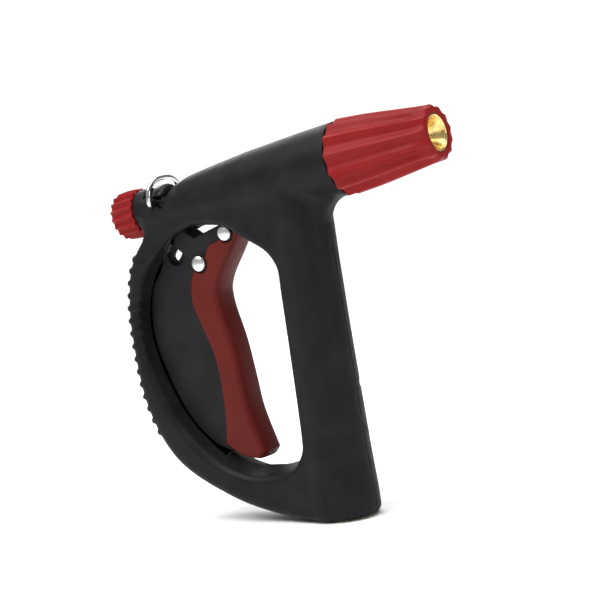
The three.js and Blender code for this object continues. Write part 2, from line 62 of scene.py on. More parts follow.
# ---------- the frame's lines ----------
AXIS_X, _, AXIS_Z = JOINTS["tip_turn"]["axis"]
TILT = math.atan2(AXIS_Z, AXIS_X)
TIP_SPOT = joint_place("tip_turn")
BARREL_HEIGHT = TIP_SPOT[1] - TIP_SPOT[0] * math.tan(TILT)
PIVOT = joint_place("trigger_pull")
LINK_LOW = joint_place("link_swing")
BAIL_SPOT = joint_place("bail_swing")

COLLAR_FRONT = -91               # places along the barrel axis, from the Z axis
COLLAR_BACK = -98
YOKE_AT = -84
YOKE_DROP = 6
DOME_RADIUS = 9.9                # the neck's core that the window under the bail leaves standing
DOME_TOP = 11.2                  # the yoke's dome in that window

ARM_HALF = 14
ARM_EDGE = 5.5                   # rounding of the arm's long edges
WALL = 2.4
SEAM = 0.05                      # each shell stops this far from the middle plane
GAP = 0.3


def barrel_point(along, above=0.0):
    """X and Z of a place along the barrel and a height above its axis."""
    x = along * math.cos(TILT) - above * math.sin(TILT)
    return x, BARREL_HEIGHT + along * math.sin(TILT) + above * math.cos(TILT)


def on_barrel(x, z):
    """The place along the barrel and the height above its axis of X and Z."""
    along = x * math.cos(TILT) + (z - BARREL_HEIGHT) * math.sin(TILT)
    above = (z - BARREL_HEIGHT) * math.cos(TILT) - x * math.sin(TILT)
    return along, above


# ---------- distance fields ----------
def both(a, b, radius):
    """What two fields share, with the edge between them rounded."""
    corner = np.hypot(np.maximum(a + radius, 0), np.maximum(b + radius, 0))
    return np.minimum(np.maximum(a, b), -radius) + corner


def either(a, b, radius):
    """Two fields joined, with a fillet between them."""
    return -both(-a, -b, radius)


def without(a, b, radius):
    """The first field with the second cut out of it."""
    return both(a, -b, radius)


def spline(points, steps=8):
    """A smooth curve through points in side view."""
    p = np.array(points, float)
    ends = np.vstack([p[:1], p, p[-1:]])
    t = np.linspace(0, 1, steps, endpoint=False)[:, None]
    runs = []
    for p0, p1, p2, p3 in zip(ends, ends[1:], ends[2:], ends[3:]):
        start, finish = (p2 - p0) / 2, (p3 - p1) / 2
        runs.append((2 * p1 - 2 * p2 + start + finish) * t ** 3
                    + (3 * p2 - 3 * p1 - 2 * start - finish) * t ** 2 + start * t + p1)
    return np.vstack([*runs, p[-1:]])


def outline(*runs):
    """A closed outline from runs that share their ends: two points make a straight line, more a curve."""
    return np.vstack([(spline(run) if len(run) > 2 else np.array(run, float))[:-1] for run in runs])


class Flat:
    """The signed distance to a closed side-view outline, sampled once and read between its samples."""

    def __init__(self, points, margin=30.0, step=0.4):
        self.low = points.min(0) - margin
        self.step = step
        self.size = np.ceil((points.max(0) + margin - self.low) / step).astype(int)
        x = (self.low[0] + step * np.arange(self.size[0]))[:, None]
        z = (self.low[1] + step * np.arange(self.size[1]))[None, :]
        nearest = np.full(self.size, np.inf)
        inside = np.zeros(self.size, bool)
        for (ax, az), (bx, bz) in zip(points, np.roll(points, -1, 0)):
            ex, ez = bx - ax, bz - az
            share = np.clip(((x - ax) * ex + (z - az) * ez) / (ex * ex + ez * ez), 0, 1)
            nearest = np.minimum(nearest, (x - ax - share * ex) ** 2 + (z - az - share * ez) ** 2)
            if az != bz:
                inside ^= ((az > z) != (bz > z)) & (x < ex * (z - az) / ez + ax)
        self.samples = np.sqrt(nearest) * np.where(inside, -1, 1)

    def __call__(self, x, z):
        u = np.clip((x - self.low[0]) / self.step, 0, self.size[0] - 1.001)
        v = np.clip((z - self.low[1]) / self.step, 0, self.size[1] - 1.001)
        i, j = u.astype(int), v.astype(int)
        u, v = u - i, v - j
        s = self.samples
        return ((s[i, j] * (1 - u) + s[i + 1, j] * u) * (1 - v)
                + (s[i, j + 1] * (1 - u) + s[i + 1, j + 1] * u) * v)


def bar(x, z, start, end, radius):
    """A bar with round ends, in side view."""
    ex, ez = end[0] - start[0], end[1] - start[1]
    share = np.clip(((x - start[0]) * ex + (z - start[1]) * ez) / (ex * ex + ez * ez), 0, 1)
    return np.hypot(x - start[0] - share * ex, z - start[1] - share * ez) - radius


def rod(x, z, spot, radius):
    """A round rod across the handle, in side view."""
    return np.hypot(x - spot[0], z - spot[1]) - radius


def eased(value, start, end):
    """A smooth step from 0 to 1 as a value goes from start to end."""
    share = np.clip((value - start) / (end - start), 0, 1)
    return share * share * (3 - 2 * share)


def between(value, low, high):
    """The slab of space from one value to another."""
    return np.maximum(low - value, value - high)


def common(*fields):
    """What several fields share, with sharp edges."""
    return np.maximum.reduce(np.broadcast_arrays(*fields))


def tapered(radius, along, profile):
    """Inside a turned profile of [radius, along] points, by its radius alone."""
    radii, places = np.array(profile, float).T
    return radius - np.interp(along, places, radii)


def net(field, low, high, step):
    """The zero surface of a field as points and quads: one point in each grid cell that it crosses."""
    axes = [np.arange(a - 1.5 * step, b + 1.5 * step, step) for a, b in zip(low, high)]
    x, y, z = np.meshgrid(*axes, indexing="ij", sparse=True)
    values = field(x, y, z) + np.zeros([len(a) for a in axes])
    inside = values < 0
    shape = np.array(values.shape)
    offsets = np.array([[i, j, k] for i in (0, 1) for j in (0, 1) for k in (0, 1)])
    count = sum(inside[i:shape[0] - 1 + i, j:shape[1] - 1 + j, k:shape[2] - 1 + k].astype(np.int8)
                for i, j, k in offsets)
    crossed = (count > 0) & (count < 8)
    cells = np.argwhere(crossed)
    index = np.full(crossed.shape, -1)
    index[crossed] = np.arange(len(cells))
    corner = [values[tuple((cells + offset).T)] for offset in offsets]
    total, hits = np.zeros((len(cells), 3)), np.zeros(len(cells))
    for a in range(8):
        for axis, bit in enumerate((4, 2, 1)):
            if not a & bit:
                va, vb = corner[a], corner[a | bit]
                hit = (va < 0) != (vb < 0)
                share = np.where(hit, va / np.where(hit, va - vb, 1), 0)
                total[hit] += offsets[a]
                total[:, axis] += share
                hits += hit
    origin = np.array([a[0] for a in axes])
    points = origin + (cells + total / hits[:, None]) * step
    quads = []
    for axis in range(3):
        u, v = np.eye(3, dtype=int)[[(axis + 1) % 3, (axis + 2) % 3]]
        first = np.moveaxis(inside, axis, 0)
        change = np.moveaxis(first[:-1] != first[1:], 0, axis)
        edge = np.argwhere(change)
        edge = edge[((edge[:, (axis + 1) % 3] > 0) & (edge[:, (axis + 2) % 3] > 0))]
        ring = np.stack([index[tuple(c.T)] for c in (edge - u - v, edge - v, edge, edge - u)], 1)
        leaving = inside[tuple(edge.T)]
        quads.append(np.where(leaving[:, None], ring, ring[:, ::-1]))
    return points, np.vstack(quads)


def settle(field, points, quads, step, rounds=4):
    """Evens the points out and draws them onto the field's zero surface. The last round only draws them."""
    pairs = np.vstack([quads[:, [i, (i + 1) % 4]] for i in range(4)])
    degree = np.bincount(pairs[:, 0], minlength=len(points)).astype(float)
    probe = 0.02
    for turn in range(rounds):
        if turn < rounds - 1:
            sums = [np.bincount(pairs[:, 0], points[pairs[:, 1], k], len(points)) for k in range(3)]
            points = points + 0.5 * (np.stack(sums, 1) / degree[:, None] - points)
        for _ in range(2):
            value = field(*points.T)
            rises = [field(*(points + probe * axis).T) - value for axis in np.eye(3)]
            slope = np.stack(rises, 1) / probe
            move = slope * (value / np.maximum((slope ** 2).sum(1), 0.05))[:, None]
            points = points - np.clip(move, -step / 2, step / 2)
    return points


# ---------- meshes ----------
def make(name, points, faces, smooth_angle=40):
    """A mesh object from points in millimetres and faces of one size."""
    faces = np.asarray(faces)
    mesh = bpy.data.meshes.new(name)
    mesh.vertices.add(len(points))
    mesh.vertices.foreach_set("co", (np.asarray(points) * MM).astype(np.float32).ravel())
    mesh.loops.add(faces.size)
    mesh.loops.foreach_set("vertex_index", faces.ravel().astype(np.int32))
    mesh.polygons.add(len(faces))
    mesh.polygons.foreach_set("loop_start", np.arange(0, faces.size, faces.shape[1], dtype=np.int32))
    mesh.update(calc_edges=True)
    piece = bpy.data.objects.new(name, mesh)
    bpy.context.scene.collection.objects.link(piece)
    finish_mesh(piece, smooth_angle)
    return piece


def finish_mesh(piece, smooth_angle):
    """Joins doubled points, points all faces outwards and shades smooth up to an angle in degrees."""
    work = bmesh.new()
    work.from_mesh(piece.data)
    bmesh.ops.remove_doubles(work, verts=work.verts, dist=0.002 * MM)
    bmesh.ops.recalc_face_normals(work, faces=work.faces)
    work.to_mesh(piece.data)
    work.free()
    piece.data.shade_smooth()
    piece.data.set_sharp_from_angle(angle=math.radians(smooth_angle))


def moulded(name, field, low, high, step, smooth_angle=40):
    """A piece whose surface is a field's zero surface."""
    points, quads = net(field, low, high, step)
    return make(name, settle(field, points, quads, step), quads, smooth_angle)


def rounded(corners, steps=4):
    """A closed outline of (x, y, radius) corners, each turned into an arc."""
    p = np.array([c[:2] for c in corners], float)
    share = np.linspace(0, 1, steps + 1)[:, None]
    points = []
    for before, here, after, (_, _, radius) in zip(np.roll(p, 1, 0), p, np.roll(p, -1, 0), corners):
        to_before, to_after = before - here, after - here
        reach = [min(radius, np.linalg.norm(side) * 0.45) for side in (to_before, to_after)]
        start = here + to_before / np.linalg.norm(to_before) * reach[0]
        end = here + to_after / np.linalg.norm(to_after) * reach[1]
        if radius:
            points.append(start * (1 - share) ** 2 + 2 * here * share * (1 - share) + end * share ** 2)
        else:
            points.append(here[None])
    return np.vstack(points)


def divided(points, step):
    """A closed outline with points added so that none of its sides is longer than a step."""
    sides = []
    for a, b in zip(points, np.roll(points, -1, 0)):
        count = max(1, math.ceil(np.linalg.norm(b - a) / step))
        sides.append(a + (b - a) * np.linspace(0, 1, count, endpoint=False)[:, None])
    return np.vstack(sides)


def ring_quads(rows, columns, closed_rows=True):
    """Quads over a grid of points that closes on itself along its columns and, if asked, along its rows."""
    i = np.arange(rows if closed_rows else rows - 1)[:, None] * columns
    j = np.arange(columns)[None, :]
    below, beside = (i + columns) % (rows * columns), (j + 1) % columns
    return np.stack([i + j, i + beside, below + beside, below + j], -1).reshape(-1, 4)


def turned(name, profile, place, sides=96, shape=None, smooth_angle=35):
    """A closed (radius, along) profile turned about an axis. shape(radius, along, angle) may move its
    radius, and place(radius, along, angle) gives the points."""
    angle = np.linspace(0, 2 * math.pi, sides, endpoint=False)[None, :]
    radius, along = (column[:, None] for column in np.asarray(profile, float).T)
    if shape is not None:
        radius = shape(radius, along, angle)
    points = np.stack(np.broadcast_arrays(*place(radius, along, angle)), -1).reshape(-1, 3)
    return make(name, points, ring_quads(len(profile), sides), smooth_angle)


def about_barrel(radius, along, angle):
    """Angles run from straight up, round towards the right side."""
    x, z = barrel_point(along, radius * np.cos(angle))
    return x, -radius * np.sin(angle), z


def about_column(radius, along, angle):
    return radius * np.cos(angle), radius * np.sin(angle), along + 0 * angle


def about_rod(spot):
    """Turns about a line across the handle at a spot in side view."""
    def place(radius, along, angle):
        return spot[0] + radius * np.cos(angle), along + 0 * angle, spot[1] + radius * np.sin(angle)
    return place


def swept(name, path, radius, flat, sides=20):
    """A round wire along an open path that lies in one plane; flat is the plane's normal."""
    tangent = np.gradient(path, axis=0)
    tangent /= np.linalg.norm(tangent, axis=1)[:, None]
    across = np.cross(tangent, flat)
    ends = [0.0, 0.35, 0.7, 0.95, 1.0]
    radii = radius * np.array([0.0, *np.sqrt(1 - (1 - np.array(ends[1:])) ** 2)])
    head = [path[0] - tangent[0] * radius * (1 - share) * 0.5 for share in ends]
    tail = [path[-1] + tangent[-1] * radius * (1 - share) * 0.5 for share in reversed(ends)]
    centres = np.vstack([head, path[1:-1], tail])
    widths = np.concatenate([radii, np.full(len(path) - 2, radius), radii[::-1]])[:, None, None]
    first, last = (np.repeat(end, len(ends), 0) for end in (across[:1], across[-1:]))
    sideways = np.vstack([first, across[1:-1], last])
    angle = np.linspace(0, 2 * math.pi, sides, endpoint=False)[None, :, None]
    spokes = np.cos(angle) * sideways[:, None, :] + np.sin(angle) * np.array(flat)[None, None, :]
    points = (centres[:, None, :] + widths * spokes).reshape(-1, 3)
    return make(name, points, ring_quads(len(centres), sides, closed_rows=False), 60)


# ---------- handle shells ----------
COLUMN_PROFILE = [[17.4, 0], [17.4, 11], [16.6, 33], [15.3, 88], [14.7, 128], [14.7, 172]]
BARREL_PROFILE = [[10.6, -76], [11.6, -66], [13.5, -49], [15.6, -26], [17.4, 5], [18.3, 28.2]]
BARREL_BACK, BARREL_FRONT = BARREL_PROFILE[0][1], BARREL_PROFILE[-1][1]
COLUMN_TOP = COLUMN_PROFILE[-1][1]
NECK_RADIUS = 11.3
ARM_BACK = [[-96.8, 149.8], [-101.6, 142.5], [-107.6, 128], [-111.2, 102], [-108.2, 62.7],
            [-92.9, 32.5], [-61.1, 12.4], [-29.5, 2.2], [-13.3, 0.4]]
OPENING_BACK = [[-62, 154.6], [-80, 146.9], [-97, 121.2], [-100.3, 95], [-87.5, 59.2], [-67, 36.3],
                [-50, 28], [-36, 27.1], [-24.5, 28.8], [-16.5, 32], [-12.7, 36.5], [-12, 42]]
OPENING_TOP = [[-12, 118], [-12, 127.5], [-14.8, 133.4], [-21.5, 139.3], [-31.8, 146.8], [-42, 152.6],
               [-62, 154.6]]
OPENING_FLARE = 4                # how much wider the opening is at the arm's sides than at its middle
LEVER_HALF = 3.5
CHEEK_HALF = 6.2
CHEEK_RADIUS = 5.4
LINK_HALF = 2.5
CHEEK_CORNER = (-66, 142)        # the trigger's cheek plates: their third corner, and the end of their horn
HORN_END = (-72.5, 146.8)
CHEEK_TRIANGLE = Flat(outline([PIVOT, LINK_LOW], [LINK_LOW, CHEEK_CORNER], [CHEEK_CORNER, PIVOT]), 20)
SCREWS = [  # side-view place, how far out the seat of the head is, and where the tip ends
    ((-93.5, 148.2), 8.5, -8),
    ((-84.5, 33.5), 9.5, -8),
    ((-38, 15), 9.5, -8),
    ((-9.9, 108), 6, -6),
    ((11.2, 66), 6, -6),
    (barrel_point(-18, 12), 6, -6),
]
NOTCH = (-88.5, 139.5)           # a finger notch in the opening's edge, on the left side only
BUMPS = 15
BUMP_START = 0.047               # places along the arm's back, as shares of its length
BUMP_PITCH = 0.0322
BUMP_HALF = 12.2
BUMP_RADIUS = 1.7
FILLET = 12                      # under the barrel, in front of the column
FOOT_ROUNDING = 4.6


def cheeks(x, z):
    """The cheeks in side view: a rounded triangle over both rivets, with a horn up along the pull link."""
    return np.minimum(CHEEK_TRIANGLE(x, z) - CHEEK_RADIUS, bar(x, z, CHEEK_CORNER, HORN_END, CHEEK_RADIUS))


def bump_spots():
    """The middles of the grip bumps, evenly spaced down the arm's back, and which way the arm runs there."""
    curve = spline(ARM_BACK, 40)
    run = np.concatenate([[0], np.cumsum(np.linalg.norm(np.diff(curve, axis=0), axis=1))])
    places = (BUMP_START + BUMP_PITCH * np.arange(BUMPS)) * run[-1]

    def along_curve(at):
        return np.stack([np.interp(at, run, curve[:, k]) for k in (0, 1)], 1)

    spots = along_curve(places)
    return spots, along_curve(places + 1) - spots


def neck_window(along, above, radius):
    """The window in the neck's top: its floor, its sloping front and the core left below the yoke's dome."""
    floor = 5.2 - 6.7 * eased(along, -84, -81.5)
    front = along + 79.3 - 0.575 * above - 0.035 * np.maximum(above, 0) ** 2
    window = both(np.maximum(COLLAR_FRONT - along, 0.8 * front), floor - above, 0.8)
    return without(window, np.maximum(radius - DOME_RADIUS, above - 5), 0.5)


def handle_field():
    """The handle as one hollow body. Its two halves are parted afterwards."""
    neck_end = barrel_point(COLLAR_BACK + 3)
    arm_flat = Flat(outline(ARM_BACK, [ARM_BACK[-1], [0, 0.4]], [[0, 0.4], [0, BARREL_HEIGHT]],
                            [[0, BARREL_HEIGHT], neck_end], [neck_end, [-95.4, 153.4]],
                            [[-95.4, 153.4], ARM_BACK[0]]))
    opening_flat = Flat(outline(OPENING_BACK, [OPENING_BACK[-1], OPENING_TOP[0]], OPENING_TOP))
    spots, directions = bump_spots()
    column_radii, column_places = np.array(COLUMN_PROFILE, float).T
    barrel_radii, barrel_places = np.array([[NECK_RADIUS, -77], *BARREL_PROFILE[1:]], float).T
    link_top = barrel_point(YOKE_AT - 3, -YOKE_DROP)

    def arm_half(x, z, along, above):
        """Half the arm's width: it meets the neck and the foot of the column flush."""
        neck = np.interp(along, barrel_places, barrel_radii) - 0.3
        foot = np.interp(z, column_places, column_radii) - 0.2
        half = ARM_HALF + (np.minimum(neck, ARM_HALF) - ARM_HALF) * eased(above, -27, -12)
        return half + (foot - ARM_HALF) * eased(x, -34, -3) * eased(z, 60, 20)

    def outside(x, y, z):
        along, above = on_barrel(x, z)
        radius = np.hypot(above, y)
        flare = OPENING_FLARE * np.minimum(abs(y) / ARM_HALF, 1)
        flare = flare * eased(x, -12, -22) * eased(z, 146, 128)
        side = abs(y) - arm_half(x, z, along, above)
        edge = ARM_EDGE - 3 * eased(x, -34, -8)
        arm = without(both(arm_flat(x, z), side, edge), opening_flat(x, z) - flare, 3)
        arm = without(arm, np.maximum(rod(x, z, NOTCH, 5.5), 4 - y), 1.5)
        off_bump = np.min([
            np.hypot((x - sx) * dx + (z - sz) * dz, np.maximum(np.hypot(x - sx, z - sz) - 8, 0))
            for (sx, sz), (dx, dz) in zip(spots, directions)], 0)
        past_end = np.maximum(abs(y) - BUMP_HALF, 0)
        bumps = np.sqrt((arm + 0.5) ** 2 + off_bump ** 2 + past_end ** 2) - BUMP_RADIUS
        arm = either(arm, bumps, 0.5)
        column = np.maximum(tapered(np.hypot(x, y), z, COLUMN_PROFILE), z - COLUMN_TOP)
        barrel = both(tapered(radius, along, BARREL_PROFILE), BARREL_BACK - along, 2.0)
        barrel = both(barrel, along - BARREL_FRONT, 0.5)
        neck = both(radius - NECK_RADIUS, between(along, COLLAR_BACK, -70), 1.0)
        body = either(column, barrel, 1.5 + (FILLET - 1.5) * eased(abs(y), 15, 3))
        body = either(either(body, neck, 2), arm, 3)
        return both(body, -z, FOOT_ROUNDING)

    def solid(x, y, z):
        along, above = on_barrel(x, z)
        radius = np.hypot(above, y)
        column_radius = np.hypot(x, y)
        shell = outside(x, y, z)
        hollow = np.min(np.broadcast_arrays(
            shell + WALL,
            # the barrel's mouth, the column's foot and the neck
            np.maximum(radius - 15.9, between(along, 15, 32)),
            np.maximum(column_radius - 14.9, between(z, -5, 12)),
            np.maximum(radius - 9, between(along, COLLAR_BACK + 1.6, -68)),
        ), 0)
        boss = np.min([rod(x, z, spot, 4) for spot, _, _ in SCREWS], 0)
        pocket = np.maximum(hollow, -boss)
        cuts = [
            # the water chamber, the down tube, the knob screw and the feet of the bail
            np.maximum(radius - 8.9, between(along, -62, 40)),
            np.maximum(column_radius - 7.8, between(z, 20, COLUMN_TOP)),
            np.maximum(radius - 4.9, between(along, -110, -90)),
            np.maximum(rod(x, z, BAIL_SPOT, 1.45), abs(y) - 20),
            # the lever's slot in the arm, and room for the cheeks and for the hub at the upper rivet
            common(opening_flat(x, z) - 5, abs(y) - LEVER_HALF - 1, x + 66.5, between(z, 10, 153)),
            np.maximum(cheeks(x, z) - 3.2, abs(y) - CHEEK_HALF - 0.8),
            common(between(x, -55, -26), abs(y) - 9.4, between(z, 138, 160)),
            # the link's way up into the neck, and the yoke's foot
            common(bar(x, z, LINK_LOW, link_top, 7), abs(y) - LINK_HALF - 1.2,
                   between(x, -100, -60), between(z, 140, 170)),
            common(between(along, -95, -76), abs(y) - 4.9, between(above, -12.5, 0)),
        ]
        for spot, seat, tip in SCREWS:
            cuts.append(np.maximum(rod(x, z, spot, 1.7), between(y, tip - 0.4, 20)))
            cuts.append(np.maximum(rod(x, z, spot, 3.0), between(y, seat - GAP, 20)))
        window = neck_window(along, above, radius)
        shell = without(shell, window, 1.0 + 2.5 * eased(along, -86, -80))
        shell = np.maximum(shell, -pocket)
        return without(shell, np.min(np.broadcast_arrays(*cuts), 0), 0.6)

    return solid


def part_shells():
    """Makes the whole handle and parts it into its two shells at the middle plane."""
    step = 0.9
    stray = 0.3                  # a cap face whose middle is further out than this bridges an opening
    field = handle_field()
    points, quads = net(field, (-114, -20, -1), (30, 20, 197), step)
    whole = make("handle_whole", settle(field, points, quads, step), quads)
    halves = []
    for name, side in (("right_shell", -1), ("left_shell", 1)):
        work = bmesh.new()
        work.from_mesh(whole.data)
        bmesh.ops.bisect_plane(
            work, geom=[*work.verts, *work.edges, *work.faces], dist=1e-7,
            plane_co=(0, side * SEAM * MM, 0), plane_no=(0, -side, 0), clear_outer=True)
        rim = [edge for edge in work.edges if edge.is_boundary]
        caps = bmesh.ops.triangle_fill(work, use_beauty=False, use_dissolve=False, edges=rim)["geom"]
        caps = [face for face in caps if isinstance(face, bmesh.types.BMFace)]
        middles = np.array([face.calc_center_median() for face in caps]) / MM
        astray = [face for face, far in zip(caps, field(*middles.T)) if far > stray]
        bmesh.ops.delete(work, geom=astray, context="FACES_ONLY")
        mesh = bpy.data.meshes.new(name)
        work.to_mesh(mesh)
        work.free()
        half = bpy.data.objects.new(name, mesh)
        bpy.context.scene.collection.objects.link(half)
        finish_mesh(half, 40)
        halves.append(half)
    bpy.data.objects.remove(whole)
    return halves


# ---------- twist tip, nozzle and knob ----------
TIP_RIBS = 13
KNOB_RIBS = 17
TIP_LINE = [[19.2, 28.6], [17.8, 46], [14, 76], [13.7, 81.5], [12.8, 82.5]]
KNOB_LINE = [[12.2, -112.6], [12.9, -105], [12.6, -98.6]]


def fluted(ribs, depth, crest, line, run_out=None):
    """Flutes between sharp ribs on the outside of a turned piece. crest is the angle of one rib, line is
    the outside as [radius, along] points, and run_out is where the flutes start and stop running out."""
    radii, places = np.array(line, float).T

    def shape(radius, along, angle):
        near = np.clip(1 - (np.interp(along, places, radii) - radius) / 1.6, 0, 1)
        if run_out is not None:
            start, end = run_out
            near = near * (1 - 0.5 * np.clip((along - start) / (end - start), 0, 1))
        return radius - depth * near * np.abs(np.sin(ribs * (angle - crest) / 2)) ** 1.4

    return shape


def twist_tip():
    outside = [(17, 28.6, 0.3), (19.2, 28.6, 0.7), (17.8, 46, 6), (14, 76, 5), (13.7, 81.3, 0.6),
               (12.9, 82.5, 0.7)]
    inside = [(9.4, 82.5, 0.4), (9.4, 66.3, 0.2), (11.3, 66.3, 0.2), (11.3, 33, 0.3), (17, 31, 0.3)]
    profile = outside + inside
    return turned("tip_sleeve", divided(rounded(profile), 1.1), about_barrel, TIP_RIBS * 16,
                  fluted(TIP_RIBS, 2.1, 0.0, TIP_LINE, (72, 80)))


def brass_nozzle():
    outside = [(9.35, 36, 0.3), (11, 36, 0.3), (11, 66, 0.4), (9.1, 66, 0.3), (9.15, 82, 0.35)]
    inside = [(8.5, 82, 0.25), (8.1, 81.5, 0.1), (7.8, 81.5, 0.1), (5.3, 76.8, 1), (3.4, 74, 0.8),
              (3.4, 68, 0.3), (9.35, 62.5, 0.3)]
    profile = outside + inside
    return turned("nozzle_outlet", divided(rounded(profile), 1.5), about_barrel, 128)


def flow_knob():
    profile = [(3, -112.6, 0.2), (12.2, -112.6, 0.9), (12.9, -105, 3), (12.6, -98.6, 0.5), (5, -98.6, 0.2),
               (5, -109, 0.2), (3, -109, 0.2)]
    return turned("knob_wheel", divided(rounded(profile), 0.8), about_barrel, KNOB_RIBS * 14,
                  fluted(KNOB_RIBS, 1.7, math.pi, KNOB_LINE))


# ---------- trigger ----------
HUB_HALF = 8.2
GRIP_HALF = 8.6
HUB_RADIUS = 4.7
LUG_HALF = 3
RIVET_SHANK = 2
LEVER_RUNS = [
    [[-64, 146], [-79, 147], [-87, 140]],
    [[-87, 140], [-92, 132], [-99.4, 121], [-101.6, 95], [-89.5, 60], [-75, 42], [-64, 36]],
    [[-64, 36], [-56, 36]],
    [[-56, 36], [-53.5, 56], [-54, 84], [-60, 108], [-61, 120], [-56, 130], [-50, 140]],
    [[-50, 140], [-64, 146]],
]
LEVER_RECESS = (-80, 139.8)      # a round recess on both sides, with a short slot through its thin web
LEVER_HOLE = (-81.3, 139), (-79.7, 140.8)
GRIP_RUNS = [
    [[-48.8, 145.4], [-55.3, 143.2], [-58.6, 138.3], [-68, 129.3], [-71, 116], [-67.3, 102.6], [-62, 86],
     [-60.6, 68], [-61.4, 52], [-63.2, 40.4]],
    [[-63.2, 40.4], [-53.5, 33.8], [-42, 31.5]],
    [[-42, 31.5], [-38.6, 35.5]],
    [[-38.6, 35.5], [-44.4, 56], [-46.2, 72], [-48.6, 92], [-53, 113], [-51.6, 124], [-41.5, 138.5],
     [-33, 150]],
    [[-33, 150], [-37.5, 153]],
    [[-37.5, 153], [-48.8, 145.4]],
]
LUG_TOP = (-43, 165)


def trigger_pieces():
    lever_flat = Flat(outline(*LEVER_RUNS), 8)
    grip_flat = Flat(outline(*GRIP_RUNS), 8)
    link_top = barrel_point(YOKE_AT, -YOKE_DROP)
    link_back = (link_top[0] - 5, link_top[1] - 4)

    def hubs(x, z, radius):
        return np.minimum(rod(x, z, PIVOT, radius), rod(x, z, LINK_LOW, radius))

    def lever(x, y, z):
        cheek = both(cheeks(x, z), abs(y) - CHEEK_HALF, 0.6)
        body = either(both(lever_flat(x, z), abs(y) - LEVER_HALF, 0.5), cheek, 0.4)
        body = either(body, both(hubs(x, z, HUB_RADIUS), abs(y) - HUB_HALF, 0.3), 0.4)
        link_space = np.minimum(bar(x, z, LINK_LOW, link_top, 4.3), bar(x, z, LINK_LOW, link_back, 4.3))
        space = np.minimum(np.maximum(link_space, abs(y) - LINK_HALF - GAP),
                           np.maximum(bar(x, z, PIVOT, LUG_TOP, 6.2), abs(y) - LUG_HALF - GAP))
        recess = np.maximum(rod(x, z, LEVER_RECESS, 5.2), 1 - abs(y))
        holes = np.minimum(hubs(x, z, RIVET_SHANK + GAP), bar(x, z, *LEVER_HOLE, 2))
        return without(body, np.minimum.reduce(np.broadcast_arrays(space, recess, holes)), 0.3)

    def grip(x, y, z):
        crown = grip_flat(x + 1.9 * (y / GRIP_HALF) ** 2, z)
        body = both(both(grip_flat(x, z), crown, 1), abs(y) - GRIP_HALF, 1.9)
        space = np.minimum.reduce(np.broadcast_arrays(
            np.maximum(lever_flat(x, z) - GAP, abs(y) - LEVER_HALF - GAP),
            np.maximum(cheeks(x, z) - GAP, abs(y) - CHEEK_HALF - GAP),
            np.maximum(bar(x, z, PIVOT, LUG_TOP, 5.8), abs(y) - LUG_HALF - 2 * GAP),
            hubs(x, z, HUB_RADIUS + GAP),
        ))
        return without(body, space, 0.3)

    def link(x, y, z):
        body = both(bar(x, z, LINK_LOW, link_top, 3.2), abs(y) - LINK_HALF, 0.5)
        holes = np.minimum(rod(x, z, LINK_LOW, RIVET_SHANK + GAP), rod(x, z, link_top, 1.95))
        return without(body, holes, 0.2)

    return (
        moulded("trigger_plate", lever, (-104, -9, 34), (-37, 9, 156), 0.6),
        moulded("trigger_shell", grip, (-73, -9, 30), (-31, 9, 155), 0.5),
        moulded("link_bar", link, (-88, -3, 130), (-58, 3, 165), 0.4),
    )


def rivet(name, spot):
    base, rise, head = HUB_HALF + GAP, 2.1, 4.1
    turn = np.linspace(0, math.pi / 2, 12)
    dome = [(head * math.sin(a), base + rise * (0.25 + 0.75 * math.cos(a))) for a in turn]
    half = [*dome, (head - 0.15, base + 0.1), (head - 0.4, base), (RIVET_SHANK, base)]
    profile = [*half, *[(r, -y) for r, y in reversed(half)]]
    return turned(name, profile, about_rod(spot), 48, smooth_angle=50)


# ---------- valve parts that show ----------
def stem_yoke():
    pin = barrel_point(YOKE_AT, -YOKE_DROP)

    def field(x, y, z):
        along, above = on_barrel(x, z)
        radius = np.hypot(above, y)
        body = both(radius - 8.6, between(along, YOKE_AT - 4.5, YOKE_AT + 5.5), 1.2)
        foot = both(between(along, YOKE_AT - 3.4, YOKE_AT + 3.4),
                    np.maximum(between(above, -YOKE_DROP - 3.4, -3), abs(y) - LINK_HALF - 2), 0.6)
        dome = both(radius - DOME_TOP, between(along, YOKE_AT - 2.9, YOKE_AT + 5.5), 2.8)
        dome = both(dome, 5.5 - above, 0.4)
        body = either(body, dome, 0.8)
        slot = np.maximum(between(above, -14, -2.3), abs(y) - LINK_HALF - GAP)
        space = np.minimum.reduce(np.broadcast_arrays(slot, radius - 2.3, rod(x, z, pin, 1.8)))
        return without(either(body, foot, 1), space, 0.35)

    return moulded("yoke_block", field, (-95, -12, 150), (-74, 12, 178), 0.4)


def bail():
    """A squarish arch of wire on two legs whose feet turn inwards."""
    wire, half, height = 1.4, 13.3, 13.3
    shoulder, squareness, corner = 3, 2.5, 2
    lean = math.radians(10) - TILT
    quarter = np.linspace(0, math.pi / 2, 10)
    arch = np.linspace(0, math.pi / 2, 40)
    left = [(-half + 3, 0), (-half + corner + 0.5, 0)]
    left += [(-half + corner - corner * math.sin(a), corner - corner * math.cos(a)) for a in quarter]
    power = 2 / squareness
    left += [(-half * math.cos(a) ** power, shoulder + (height - shoulder) * math.sin(a) ** power)
             for a in arch]
    path = np.array(left + [(-y, h) for y, h in reversed(left[:-1])])
    run = np.concatenate([[0], np.cumsum(np.linalg.norm(np.diff(path, axis=0), axis=1))])
    even = np.linspace(0, run[-1], 160)
    path = np.stack([np.interp(even, run, column) for column in path.T], 1)
    x, z = BAIL_SPOT
    points = np.stack([x + path[:, 1] * math.sin(lean), path[:, 0], z + path[:, 1] * math.cos(lean)], 1)
    return swept("bail_loop", points, wire, (math.cos(lean), 0, -math.sin(lean)), 28)


